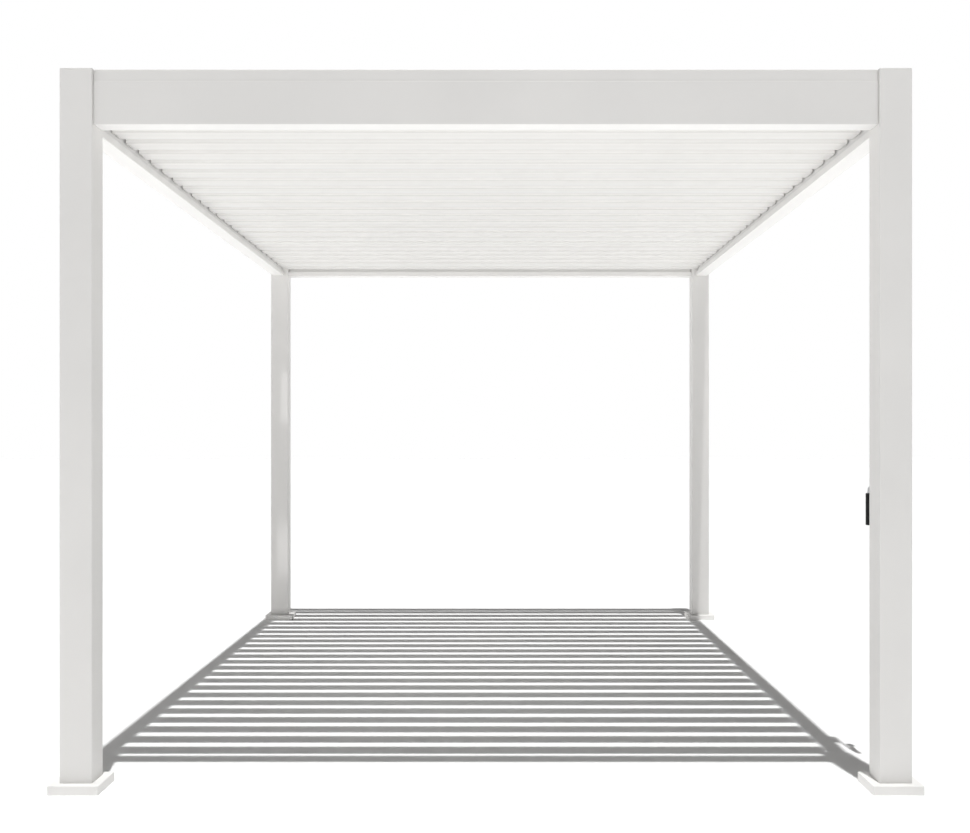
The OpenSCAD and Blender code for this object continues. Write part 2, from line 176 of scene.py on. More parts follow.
def textured(tree, kind, scale):
    """A pattern node that is fixed to its piece, with its scale in patterns per metre."""
    place = tree.nodes.new("ShaderNodeTexCoord")
    pattern = tree.nodes.new(kind)
    pattern.inputs["Scale"].default_value = scale
    tree.links.new(place.outputs["Object"], pattern.inputs["Vector"])
    return pattern


def noise(tree, scale, detail):
    """The value of a cloudy pattern; more detail makes it finer."""
    pattern = textured(tree, "ShaderNodeTexNoise", scale)
    pattern.inputs["Detail"].default_value = detail
    return pattern.outputs["Fac"]


def spread(tree, value, low, high):
    """The value of a pattern, stretched to run from low to high."""
    ramp = tree.nodes.new("ShaderNodeMapRange")
    ramp.inputs["From Min"].default_value = pattern_low
    ramp.inputs["From Max"].default_value = pattern_high
    ramp.inputs["To Min"].default_value = low
    ramp.inputs["To Max"].default_value = high
    tree.links.new(value, ramp.inputs["Value"])
    return ramp.outputs["Result"]


def tinted(tree, value, first, second):
    """A colour between two, as the pattern's value says."""
    blend = tree.nodes.new("ShaderNodeMix")
    blend.data_type = "RGBA"
    blend.inputs[mix_first].default_value = (*first, 1.0)
    blend.inputs[mix_second].default_value = (*second, 1.0)
    tree.links.new(spread(tree, value, 0.0, 1.0), blend.inputs[mix_factor])
    return blend.outputs[mix_colour]


def raised(tree, value, height, normal=None):
    """A bump of that height in metres, on top of another if one is given."""
    bump = tree.nodes.new("ShaderNodeBump")
    bump.inputs["Strength"].default_value = 1.0
    bump.inputs["Distance"].default_value = height
    tree.links.new(value, bump.inputs["Height"])
    if normal:
        tree.links.new(normal, bump.inputs["Normal"])
    return bump.outputs["Normal"]


def facing(tree, axis, start):
    """A value that runs from 0 to 1 as a face turns to look along that axis, either way."""
    place = tree.nodes.new("ShaderNodeTexCoord")
    split = tree.nodes.new("ShaderNodeSeparateXYZ")
    tree.links.new(place.outputs["Normal"], split.inputs["Vector"])
    size = tree.nodes.new("ShaderNodeMath")
    size.operation = "ABSOLUTE"
    tree.links.new(split.outputs[axis], size.inputs[0])
    ramp = tree.nodes.new("ShaderNodeMapRange")
    ramp.inputs["From Min"].default_value = start
    tree.links.new(size.outputs[0], ramp.inputs["Value"])
    return ramp.outputs["Result"]


def blended(tree, value, first, second):
    """The blend of two colours that come from other nodes."""
    blend = tree.nodes.new("ShaderNodeMix")
    blend.data_type = "RGBA"
    tree.links.new(value, blend.inputs[mix_factor])
    tree.links.new(first, blend.inputs[mix_first])
    tree.links.new(second, blend.inputs[mix_second])
    return blend.outputs[mix_colour]


def new_finish(name):
    """A material with its node tree and its surface shader."""
    finish = bpy.data.materials.new(name)
    finish.use_nodes = True
    return finish, finish.node_tree, finish.node_tree.nodes["Principled BSDF"]


def dressed(tree, surface, tone, roughness, bump):
    """Gives a surface its colour, its roughness and its bump."""
    tree.links.new(tone, surface.inputs["Base Color"])
    tree.links.new(roughness, surface.inputs["Roughness"])
    tree.links.new(bump, surface.inputs["Normal"])


# Matt white powder coat: faint cloudy tone, paler on the level faces, tops and undersides
# alike, which is painted light, and the fine orange peel that baking leaves
white_coat, tree, surface = new_finish("white_powder_coat")
clouds = noise(tree, 2.4, 4.0)
peel = noise(tree, 620.0, 2.0)
grain = noise(tree, 2600.0, 1.0)
sides = tinted(tree, clouds, (0.715, 0.706, 0.691), (0.745, 0.735, 0.719))
painted_light_level_faces = tinted(tree, clouds, (0.750, 0.742, 0.726), (0.780, 0.771, 0.754))
# Painted light: faces that look up or down take the paler tone
tone = blended(tree, facing(tree, "Z", 0.9), sides, painted_light_level_faces)
bump = raised(tree, grain, 0.00001, raised(tree, peel, 0.00006))
dressed(tree, surface, tone, spread(tree, clouds, 0.44, 0.52), bump)


def stand(origin, across, up):
    """Sets a shape's own directions: across, up, and along, which is across x up."""
    across, up = Vector(across), Vector(up)
    along = across.cross(up)
    place = Matrix((across, up, along)).transposed().to_4x4()
    place.translation = origin
    return place


def upright(origin):
    """A shape's own directions, with along pointing up."""
    return stand(origin, (1, 0, 0), (0, 1, 0))


def sideways(origin, side=1):
    """A shape's own directions, with along pointing right, or left where side is -1."""
    return stand(origin, (0, side, 0), (0, 0, 1))


def box_ring(half_u, half_v, corner, w, steps=4):
    """Points round a rectangle with rounded corners, at w along."""
    points = []
    for turn, (u, v) in enumerate([(1, 1), (-1, 1), (-1, -1), (1, -1)]):
        for step in range(steps + 1):
            angle = (turn + step / steps) * pi / 2
            points.append((
                u * (half_u - corner) + corner * cos(angle),
                v * (half_v - corner) + corner * sin(angle),
                w,
            ))
    return points


def edge_rings(half_u, half_v, edge, level, steps=4):
    """Rings along a rolled edge; a row is how far in, corner radius and how far up."""
    return [box_ring(half_u - inset, half_v - inset, corner, level + rise, steps)
            for inset, corner, rise in edge]


def skin(shape, place, rings, closed=False):
    """Joins rings of points into a surface; the end rings are filled unless it is closed."""
    made = [[shape.verts.new(place @ Vector(point)) for point in ring] for ring in rings]
    pairs = list(zip(made, made[1:]))
    if closed:
        pairs.append((made[-1], made[0]))
    for low, high in pairs:
        count = max(len(low), len(high))
        for k in range(count):
            after = k + 1
            corners = [low[k % len(low)], low[after % len(low)]]
            corners += [high[after % len(high)], high[k % len(high)]]
            shape.faces.new(list(dict.fromkeys(corners)))
    if not closed:
        for ring in (made[0], made[-1]):
            if len(ring) > 2:
                shape.faces.new(ring)


def new_mesh(name, shape, finish):
    """Turns a shape into a mesh with smooth faces and crisp edges."""
    bmesh.ops.recalc_face_normals(shape, faces=shape.faces)
    for face in shape.faces:
        face.smooth = True
    mesh = bpy.data.meshes.new(name)
    shape.to_mesh(mesh)
    shape.free()
    mesh.set_sharp_from_angle(angle=crease)
    mesh.materials.append(finish)
    return mesh


def new_piece(name, mesh, body, edge=0.0):
    """Puts a mesh in the scene, riding on a body, with its edges broken by that much."""
    piece = bpy.data.objects.new(name, mesh)
    bpy.context.scene.collection.objects.link(piece)
    if edge:
        broken = piece.modifiers.new("broken_edges", "BEVEL")
        broken.width = edge
        broken.segments = 2
        broken.limit_method = "ANGLE"
        broken.angle_limit = crease
        broken.harden_normals = True
    even = piece.modifiers.new("even_faces", "WEIGHTED_NORMAL")
    even.keep_sharp = True
    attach(piece, body)
    return piece


for node in ("post_front_left", "post_front_right", "post_rear_left", "post_rear_right"):
    low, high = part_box(node)
    centre = (low + high) / 2
    half = (high.x - low.x) / 2
    inner = half - post_wall
    inner_corner = post_corner - post_wall
    shape = bmesh.new()
    skin(shape, upright((centre.x, centre.y, 0)), [
        box_ring(half, half, post_corner, low.z),
        box_ring(half, half, post_corner, high.z),
        box_ring(inner, inner, inner_corner, high.z),
        box_ring(inner, inner, inner_corner, low.z),
    ], closed=True)
    post = new_piece(node.replace("post", "post_tube"), new_mesh(node, shape, white_coat),
                     "frame")
    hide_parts(node)


# ---- Post caps -------------------------------------------------------------------------
# Pressed aluminium caps, coated like the posts. A plug holds each one in its post, and
# the rolled edge leaves a hairline seam above the tube.
cap_half = 0.0575
cap_plate = 0.004
cap_corner = 0.004
cap_plug_wall = 0.0025
cap_plug_gap = 0.0028
cap_plug_corner = 0.0015
cap_bore_corner = 0.0008
cap_seam_gap = 0.0001
cap_skin = 0.0010

# The rolled upper edge down from the top, and the lower edge into the seam
cap_edge = [
    (0.0040, 0.0020, 0.0), (0.0020, 0.0030, -0.0002), (0.0006, 0.0036, -0.0008),
    (0.0, cap_corner, -0.0020),
]
cap_seam = [(0.0, cap_corner, 0.0008), (0.0007, 0.0035, cap_seam_gap)]

low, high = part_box("post_caps")
shape = bmesh.new()
for side, end in corners:
    centre = ((high.x - cap_half) * side, (high.y - cap_half) * end, 0)
    seam = high.z - cap_plate
    plug = cap_half - cap_plug_gap
    bore = plug - cap_plug_wall
    rings = edge_rings(cap_half, cap_half, cap_edge, high.z)
    rings += edge_rings(cap_half, cap_half, cap_seam, seam)
    rings += [
        box_ring(plug, plug, cap_plug_corner, seam + cap_seam_gap),
        box_ring(plug, plug, cap_plug_corner, low.z),
        box_ring(bore, bore, cap_bore_corner, low.z),
        box_ring(bore, bore, cap_bore_corner, seam + cap_skin),
    ]
    skin(shape, upright(centre), rings)
caps = new_piece("post_cap_set", new_mesh("post_caps", shape, white_coat), "frame")
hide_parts("post_caps")


# ---- Foot covers -----------------------------------------------------------------------
# Drawn aluminium covers that slide down the posts over the base plates. The edges are
# rolled, and the collar sits close round the post.
cover_wall = 0.003
cover_corner = 0.006
cover_inner_corner = 0.0035
collar_half = 0.0578
collar_corner = 0.0043

# The collar's and the rolled upper edge down from the top, and the lower edge
collar_edge = [
    (0.0, collar_corner, -cover_wall), (0.0, collar_corner, -0.0008), (-0.0007, 0.0048, 0.0),
]
upper_edge = [
    (0.0035, 0.0040, 0.0), (0.0018, 0.0050, -0.0005), (0.0005, 0.0057, -0.0018),
    (0.0, cover_corner, -0.0035),
]
lower_edge = [(0.0, cover_corner, 0.0006), (0.0006, 0.0055, 0.0)]

for node in ("foot_front_left", "foot_front_right", "foot_rear_left", "foot_rear_right"):
    low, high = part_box(node)
    centre = (low + high) / 2
    half = (high.x - low.x) / 2
    inner = half - cover_wall
    rings = edge_rings(collar_half, collar_half, collar_edge, high.z)
    rings += edge_rings(half, half, upper_edge, high.z)
    rings += edge_rings(half, half, lower_edge, low.z)
    rings += [
        box_ring(inner, inner, cover_inner_corner, low.z),
        box_ring(inner, inner, cover_inner_corner, high.z - cover_wall),
    ]
    shape = bmesh.new()
    skin(shape, upright((centre.x, centre.y, 0)), rings, closed=True)
    cover = new_piece(node + "_cover", new_mesh(node, shape, white_coat), "frame")
    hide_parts(node)


# ---- Base plates and ground anchors ----------------------------------------------------
# Hot-dip galvanised steel plates under the foot covers, each held to the ground by four
# hexagon bolts with washers.
plate_half = 0.080
bolt_spacing = 0.138
bolt_across = 0.017
bolt_head = 0.0064
bolt_dome = 0.0012
bolt_bevel = 0.0004
bolt_break = 0.0003
washer_r = 0.010
washer_t = 0.002
washer_edge = 0.0004

# Galvanised steel: the zinc's spangles, in slightly different greys
galvanised, tree, surface = new_finish("galvanised_steel")
spangle = textured(tree, "ShaderNodeTexVoronoi", 90.0)
mottle = noise(tree, 300.0, 3.0)
tone = tinted(tree, spangle.outputs["Color"], (0.46, 0.47, 0.48), (0.60, 0.61, 0.62))
dressed(tree, surface, tone, spread(tree, mottle, 0.34, 0.50), raised(tree, mottle, 0.00003))
surface.inputs["Metallic"].default_value = 1.0

plates = frame["nodes"]["base_plates"]
plates.data.materials.clear()
plates.data.materials.append(galvanised)

# Stainless steel: fine turning marks and a soft shine
stainless, tree, surface = new_finish("stainless_steel")
marks = noise(tree, 1400.0, 3.0)
blotch = noise(tree, 60.0, 2.0)
tone = tinted(tree, blotch, (0.58, 0.58, 0.57), (0.66, 0.66, 0.65))
dressed(tree, surface, tone, spread(tree, marks, 0.22, 0.36), raised(tree, marks, 0.00001))
surface.inputs["Metallic"].default_value = 1.0


def round_ring(radius, w, steps=24):
    """Points round a circle at w along, or the one point on the axis."""
    if radius == 0:
        return [(0, 0, w)]
    return [(radius * cos(2 * pi * k / steps), radius * sin(2 * pi * k / steps), w)
            for k in range(steps)]


def hexagon_ring(across, w, steps=24):
    """Points round a hexagon of that width across its flats, at w along."""
    points = []
    for k in range(steps):
        angle = 2 * pi * k / steps
        from_flat = (angle + pi / 6) % (pi / 3) - pi / 6
        radius = across / 2 / cos(from_flat)
        points.append((radius * cos(angle), radius * sin(angle), w))
    return points


def turned(shape, place, outline, closed=False, steps=24):
    """A turned solid; the outline is (radius, distance along)."""
    skin(shape, place, [round_ring(radius, w, steps) for radius, w in outline], closed)


low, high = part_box("base_plates")
shape = bmesh.new()
for side, end in corners:
    for du, dv in corners:
        x = (high.x - plate_half) * side + du * bolt_spacing / 2
        y = (high.y - plate_half) * end + dv * bolt_spacing / 2
        place = upright((x, y, high.z))
        turned(shape, place, [
            (washer_r, 0.0), (washer_r, washer_t - washer_edge),
            (washer_r - washer_edge, washer_t), (0, washer_t),
        ])
        skin(shape, place, [
            hexagon_ring(bolt_across, washer_t),
            hexagon_ring(bolt_across, washer_t + bolt_head - bolt_dome),
            round_ring(bolt_across / 2 - bolt_bevel, washer_t + bolt_head),
        ])
new_piece("ground_anchor_bolts", new_mesh("ground_anchor_bolts", shape, stainless), "frame",
          bolt_break)


# ---- Beams -----------------------------------------------------------------------------
# One aluminium extrusion for all four sides: a closed box with a recessed strip along
# the top, and a gutter on the inner side. On the two side beams the gutter's faces take
# a brighter white, which is painted light. Each is cut square and screwed to two posts,
# over a gasket.
beam_box_w = 0.040
beam_wall = 0.0025
chamber_corner = 0.001
strip_h = 0.043
strip_depth = 0.004
gutter_lip_h = 0.027
end_lip_lean = 0.004
joint_gap = 0.0035
paint_past = 0.0001
gasket_back = 0.002
gasket_edge = 0.001
gasket_reach = 0.035
gasket_corner = 0.001


def rounded(corners, steps=4):
    """Points of an outline whose corners are (u, v, radius)."""
    points = []
    for i, (u, v, radius) in enumerate(corners):
        here = Vector((u, v))
        if radius == 0:
            points.append((u, v))
            continue
        back = (Vector(corners[i - 1][:2]) - here).normalized()
        ahead = (Vector(corners[(i + 1) % len(corners)][:2]) - here).normalized()
        half = back.angle(ahead) / 2
        centre = here + (back + ahead).normalized() * (radius / sin(half))
        first = here + back * (radius / tan(half)) - centre
        last = here + ahead * (radius / tan(half)) - centre
        swing = first.angle(last)
        for step in range(steps + 1):
            t = step / steps
            arm = (first * sin((1 - t) * swing) + last * sin(t * swing)) / sin(swing)
            points.append(tuple(centre + arm))
    return points


def slab(low_u, low_v, high_u, high_v, corner, steps=4):
    """The outline of a rectangle with rounded corners."""
    return rounded([(low_u, low_v, corner), (high_u, low_v, corner),
                    (high_u, high_v, corner), (low_u, high_v, corner)], steps)


def extruded(shape, place, outline, hollows, start, end):
    """An outline with its hollows, drawn out from start to end along."""
    loops = []
    for points in (outline, *hollows):
        low = [shape.verts.new(place @ Vector((u, v, start))) for u, v in points]
        high = [shape.verts.new(place @ Vector((u, v, end))) for u, v in points]
        for k in range(len(points)):
            after = (k + 1) % len(points)
            shape.faces.new((low[k], low[after], high[after], high[k]))
        loops.append((low, high))
    for side in (0, 1):
        rim = []
        for loop in loops:
            ring = loop[side]
            for k in range(len(ring)):
                rim.append(shape.edges.get((ring[k], ring[(k + 1) % len(ring)])))
        if hollows:
            bmesh.ops.triangle_fill(shape, edges=rim, use_beauty=True)
        else:
            shape.faces.new(loops[0][side])


def beam_outline(width, height, lean):
    """The beam's outline; u runs from its outer face inwards and v from its underside up."""
    step = height - strip_h
    trough = width - beam_wall
    return rounded([
        (0, 0, 0.0030), (width - lean, 0, 0.0020),
        (width, gutter_lip_h, 0.0012), (trough, gutter_lip_h, 0.0012),
        (trough - lean, beam_wall, 0.0020), (beam_box_w, beam_wall, 0.0020),
        (beam_box_w, height, 0.0015), (strip_depth, height, 0.0035),
        (strip_depth, step, 0.0010), (0, step, 0.0015),
    ])


def beam_hollow(height):
    """The closed chamber of the beam's box."""
    step = height - strip_h - beam_wall
    back = beam_box_w - beam_wall
    front = strip_depth + beam_wall
    return rounded([
        (beam_wall, beam_wall, chamber_corner), (back, beam_wall, chamber_corner),
        (back, height - beam_wall, chamber_corner), (front, height - beam_wall, chamber_corner),
        (front, step, chamber_corner), (beam_wall, step, chamber_corner),
    ], 2)


# Painted light: a brighter white with faint brush marks, for faces in the gutters' shade
painted_light_white, tree, surface = new_finish("gutter_white_painted_light")
brushed = noise(tree, 3.0, 4.0)
peel = noise(tree, 600.0, 2.0)
tone = tinted(tree, brushed, (0.950, 0.944, 0.930), (0.970, 0.964, 0.950))
dressed(tree, surface, tone, spread(tree, brushed, 0.40, 0.50), raised(tree, peel, 0.00005))

# Grey closed-cell foam rubber
gasket_grey, tree, surface = new_finish("grey_gasket_rubber")
foam = noise(tree, 900.0, 3.0)
tone = tinted(tree, foam, (0.66, 0.655, 0.64), (0.72, 0.715, 0.70))
dressed(tree, surface, tone, spread(tree, foam, 0.70, 0.85), raised(tree, foam, 0.00008))

for node in ("beam_front", "beam_rear", "beam_left", "beam_right"):
    low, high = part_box(node)
    if node in ("beam_front", "beam_rear"):
        half_length = high.x
        width = high.y - low.y
        inward = Vector((0, 1 if node == "beam_front" else -1, 0))
        face = Vector((0, low.y if node == "beam_front" else high.y, low.z))
        lean = end_lip_lean
    else:
        half_length = high.y
        width = high.x - low.x
        inward = Vector((1 if node == "beam_left" else -1, 0, 0))
        face = Vector((low.x if node == "beam_left" else high.x, 0, low.z))
        lean = 0
    height = high.z - low.z
    place = stand(face, inward, (0, 0, 1))
    cut_length = half_length - joint_gap
    shape = bmesh.new()
    extruded(shape, place, beam_outline(width, height, lean), [beam_hollow(height)],
             -cut_length, cut_length)
    mesh = new_mesh(node, shape, white_coat)
    # Painted light: the side beams' gutter faces take the brighter white
    if node in ("beam_left", "beam_right"):
        mesh.materials.append(painted_light_white)
        for polygon in mesh.polygons:
            spot = place.inverted() @ polygon.center
            over_floor = spot.y > beam_wall - paint_past
            past_box = spot.x > beam_box_w - paint_past
            if over_floor and past_box and spot.x < width - beam_wall + paint_past:
                polygon.material_index = 1
    beam = new_piece(node + "_extrusion", mesh, "frame")
    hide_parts(node)
    shape = bmesh.new()
    for side in (-1, 1):
        extruded(shape, place, rounded([
            (gasket_back, gasket_edge, gasket_corner),
            (width - lean - gasket_edge, gasket_edge, gasket_corner),
            (width - gasket_edge, gutter_lip_h - gasket_edge, gasket_corner),
            (gasket_reach, gutter_lip_h - gasket_edge, 0),
            (gasket_reach, height - 2 * gasket_back, gasket_corner),
            (strip_depth + gasket_back, height - 2 * gasket_back, gasket_corner),
            (strip_depth + gasket_back, height - strip_h - gasket_back, gasket_corner),
            (gasket_back, height - strip_h - gasket_back, gasket_corner),
        ]), [], side * cut_length, side * half_length)
    new_piece(node + "_gaskets", new_mesh(node + "_gaskets", shape, gasket_grey), "frame")


# ---- Pivot rails, their covers and the screws ------------------------------------------
# A flat bar over each side gutter, bored for the louvres' bushes. It hangs from a folded
# cover whose flange is screwed to the beam with pan-head screws. A soft grey strip under
# the bar, flush with its inner face, ends just over the gutter's lip; its grey is painted
# shade, a sheet that stands for the shaded gap into the gutter.
rail_t = 0.007
rail_corner = 0.001
rail_break = 0.0005
rail_bore_r = 0.00805
rail_bore_steps = 24
strip_t = 0.0015
strip_drop = 0.0095
strip_corner = 0.0005
cover_t = 0.003
cover_bend = 0.0012
cover_edge_r = 0.0008
screw_pitch = 0.290
screw_head_d = 0.009
screw_head_h = 0.0026
rail_screw_d = 0.0065
rail_screw_h = 0.0022

# Shares of a screw head's width and height: the width, floor and tip of its socket
socket_w = 0.42
socket_floor = 0.35
socket_tip = 0.30

# A face looks down or out when its normal goes that way by more than this
faces_least = 0.5


def pan_head(shape, place, across, height):
    """A domed screw head with a hexagon socket, in shares of its width and height."""
    radius = across / 2
    socket = across * socket_w
    dome = [(1.0, 0.0), (1.0, 0.45), (0.93, 0.78), (0.72, 1.0)]
    rings = [round_ring(radius * wide, height * tall) for wide, tall in dome]
    rings += [hexagon_ring(socket, height), hexagon_ring(socket, height * socket_floor)]
    skin(shape, place, rings + [[(0, 0, height * socket_tip)]])


def bored(centre_y, centre_z, radius, steps):
    """The outline of a round hole."""
    turns = [2 * pi * k / steps for k in range(steps)]
    return [(centre_y + radius * cos(turn), centre_z + radius * sin(turn)) for turn in turns]


pivots = {joint["child"]: Vector(joint["pos_m"]) for joint in frame["joints"]}
louvres = sorted(name for name in pivots if name.startswith("louvre_"))

# Satin white; the faces of rails and covers that look down or out into the gutter take
# the brighter white of painted light
rail_coat, tree, surface = new_finish("satin_white_coat")
clouds = noise(tree, 3.0, 4.0)
peel = noise(tree, 600.0, 2.0)
tone = tinted(tree, clouds, (0.710, 0.702, 0.688), (0.740, 0.732, 0.717))
dressed(tree, surface, tone, spread(tree, clouds, 0.40, 0.50), raised(tree, peel, 0.00005))

low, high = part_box("pivot_rails")
bores = [bored(pivots[name].y, pivots[name].z, rail_bore_r, rail_bore_steps) for name in louvres]
outline = slab(low.y, low.z, high.y, high.z, rail_corner)
shape = bmesh.new()
for side in (-1, 1):
    extruded(shape, sideways((side * high.x, 0, 0)), outline, bores, 0, -side * rail_t)
mesh = new_mesh("pivot_rails", shape, rail_coat)
# Painted light: the bars' faces that look down or out into the gutter take the brighter white
mesh.materials.append(painted_light_white)
for polygon in mesh.polygons:
    looks_down = polygon.normal.z < -faces_least
    looks_out = polygon.normal.x * polygon.center.x > faces_least
    if looks_down or looks_out:
        polygon.material_index = 1
rails = new_piece("pivot_rail_bars", mesh, "frame", rail_break)
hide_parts("pivot_rails")

# Painted shade: these grey strips stand for the shade in the gap between the lip and the bar
outline = slab(low.y, low.z - strip_drop, high.y, low.z, strip_corner)
shape = bmesh.new()
for side in (-1, 1):
    place = sideways((side * (high.x - rail_t), 0, 0))
    extruded(shape, place, outline, [], 0, side * strip_t)
new_piece("rail_shade_strips", new_mesh("rail_shade_strips", shape, gasket_grey), "frame")

rail_out = high.x
low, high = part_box("rail_covers")
cover_h = high.z - low.z
cover_reach = high.x - rail_out + rail_t
outline = rounded([
    (0, 0, cover_t + cover_bend), (cover_reach, 0, cover_edge_r),
    (cover_reach, cover_t, cover_edge_r), (cover_t, cover_t, cover_bend),
    (cover_t, cover_h, cover_edge_r), (0, cover_h, cover_edge_r),
])
flange_middle = (low.z + cover_t + high.z) / 2
count = round((high.y - low.y) / screw_pitch)
shape = bmesh.new()
screws = bmesh.new()
for side in (-1, 1):
    place = stand((side * high.x, 0, low.z), (-side, 0, 0), (0, 0, 1))
    extruded(shape, place, outline, [], low.y, high.y)
    for k in range(count):
        y = low.y + (high.y - low.y) * (k + 0.5) / count
        spot = (side * (high.x - cover_t), y, flange_middle)
        place = stand(spot, (0, 0, side), (0, 1, 0))
        pan_head(screws, place, screw_head_d, screw_head_h)
        spot = (side * (high.x - cover_reach + rail_t / 2), y, low.z + cover_t)
        pan_head(screws, upright(spot), rail_screw_d, rail_screw_h)
mesh = new_mesh("rail_covers", shape, rail_coat)
# Painted light: the covers' faces that look down take the brighter white
mesh.materials.append(painted_light_white)
for polygon in mesh.polygons:
    if polygon.normal.z < -faces_least:
        polygon.material_index = 1
covers = new_piece("rail_cover_strips", mesh, "frame")
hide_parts("rail_covers")
new_piece("rail_cover_screws", new_mesh("rail_cover_screws", screws, stainless), "frame")


# ---- Bushes ----------------------------------------------------------------------------
# Turned nylon bushes, pressed into the rails from the inner side. Their flanges take the
# side thrust of the louvres.
bush_r = 0.008
flange_r = 0.010
flange_t = 0.0015
flange_edge = 0.0004
bush_chamfer = 0.0003
pin_bore_r = 0.00505

# Natural nylon: dull, faintly cloudy, and a little translucent
nylon, tree, surface = new_finish("natural_nylon")
haze = noise(tree, 220.0, 3.0)
lathe_marks = noise(tree, 1600.0, 2.0)
tone = tinted(tree, haze, (0.74, 0.735, 0.72), (0.82, 0.815, 0.80))
dressed(tree, surface, tone, spread(tree, haze, 0.42, 0.55), raised(tree, lathe_marks, 0.00001))
surface.inputs["Subsurface Weight"].default_value = 0.15
surface.inputs["Subsurface Radius"].default_value = (0.004, 0.004, 0.004)

low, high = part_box("pivot_bushes")
flange_in = -rail_t - flange_t
bush_outline = [
    (pin_bore_r, flange_in + flange_edge), (pin_bore_r + flange_edge, flange_in),
    (flange_r - flange_edge, flange_in), (flange_r, flange_in + flange_edge),
    (flange_r, -rail_t), (bush_r, -rail_t), (bush_r, -bush_chamfer),
    (bush_r - bush_chamfer, 0), (pin_bore_r + bush_chamfer, 0), (pin_bore_r, -bush_chamfer),
]
shape = bmesh.new()
for side in (-1, 1):
    for name in louvres:
        place = sideways((side * high.x, pivots[name].y, pivots[name].z), side)
        turned(shape, place, bush_outline, closed=True)
bushes = new_piece("louvre_bushes", new_mesh("pivot_bushes", shape, nylon), "frame")
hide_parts("pivot_bushes")


# ---- Louvres ---------------------------------------------------------------------------
# Twenty-three hollow aluminium slats with rounded lower edges and raised upper lips,
# closed by screwed-on end caps. Each turns on a stainless pin at either end.
slat_w = 0.106
slat_t = 0.026
slat_wall = 0.0018
slat_round = 0.006
lip_w = 0.004
lip_h = 0.002
groove_in = 0.020
groove_w = 0.003
groove_depth = 0.001
groove_edge = 0.0004
groove_root = 0.0003
lip_round = 0.0018
lip_edge = 0.0008
louvre_end = 1.4085
end_cap_t = 0.003
end_cap_margin = 0.0004
end_cap_round = 0.0015
lever_gap = 0.003
cap_boss = [(0.0105, -0.0005), (0.0100, 0.0012), (0.0095, 0.0016), (0.0060, 0.0016)]
cap_screw_y = 0.036
cap_screw_z = -0.001
cap_screw_d = 0.0075
cap_screw_h = 0.0014
pin_r = 0.005
pin_edge = 0.0005
pin_collar_r = 0.0075
pin_collar_in = 0.0014
pin_collar_out = 0.0036
pin_collar_edge = 0.0004

# The slats' white coat: smoother than the posts', and paler on the narrow front and rear
# faces than on the broad faces, which is painted light
slat_coat, tree, surface = new_finish("white_louvre_coat")
clouds = noise(tree, 3.2, 4.0)
peel = noise(tree, 520.0, 2.0)
flats = tinted(tree, clouds, (0.670, 0.660, 0.640), (0.690, 0.680, 0.660))
edges = tinted(tree, clouds, (0.890, 0.878, 0.855), (0.905, 0.893, 0.870))
# Painted light: faces that look to the front or rear take the paler tone
tone = blended(tree, facing(tree, "Y", 0.8), flats, edges)
dressed(tree, surface, tone, spread(tree, clouds, 0.46, 0.54), raised(tree, peel, 0.00004))

half_w = slat_w / 2
half_t = slat_t / 2
deck = half_t - lip_h
groove = -half_w + groove_in
groove_top = -half_t + groove_depth
slat_outline = rounded([
    (-half_w, -half_t, slat_round),
    (groove - groove_w / 2, -half_t, groove_edge),
    (groove - groove_w / 2, groove_top, groove_root),
    (groove + groove_w / 2, groove_top, groove_root),
    (groove + groove_w / 2, -half_t, groove_edge),
    (half_w, -half_t, slat_round),
    (half_w, half_t, lip_round), (half_w - lip_w, half_t, lip_edge),
    (half_w - lip_w, deck, lip_edge), (-half_w + lip_w, deck, lip_edge),
    (-half_w + lip_w, half_t, lip_edge), (-half_w, half_t, lip_round),
], 5)
inner_w = half_w - slat_wall
inner_low = -half_t + slat_wall
slat_chamber = rounded([
    (-inner_w, inner_low, slat_round - slat_wall), (inner_w, inner_low, slat_round - slat_wall),
    (inner_w, deck - slat_wall, chamber_corner), (-inner_w, deck - slat_wall, chamber_corner),
], 3)

# The first louvre's box gives the ends of its pin and of its rivet
pin_left, rivet_top = (spot.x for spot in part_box(louvres[0]))
lever_in = rail_out + lever_gap
turning = sideways((0, 0, 0))
shape = bmesh.new()
extruded(shape, turning, slat_outline, [slat_chamber], -louvre_end + end_cap_t,
         louvre_end - end_cap_t)
slat_mesh = new_mesh("louvre_slat", shape, slat_coat)

cap_w = half_w - end_cap_margin
cap_low = -half_t + end_cap_margin
cap_deck = deck - end_cap_margin
cap_top = half_t - end_cap_margin
cap_outline = rounded([
    (-cap_w, cap_low, slat_round - end_cap_margin), (cap_w, cap_low, slat_round - end_cap_margin),
    (cap_w, cap_top, end_cap_round), (cap_w - lip_w, cap_top, lip_edge),
    (cap_w - lip_w, cap_deck, lip_edge), (-cap_w + lip_w, cap_deck, lip_edge),
    (-cap_w + lip_w, cap_top, lip_edge), (-cap_w, cap_top, end_cap_round),
], 4)
shape = bmesh.new()
for side in (-1, 1):
    extruded(shape, turning, cap_outline, [], side * (louvre_end - end_cap_t), side * louvre_end)
    turned(shape, sideways((side * louvre_end, 0, 0), side), cap_boss)
cap_mesh = new_mesh("louvre_end_caps", shape, slat_coat)

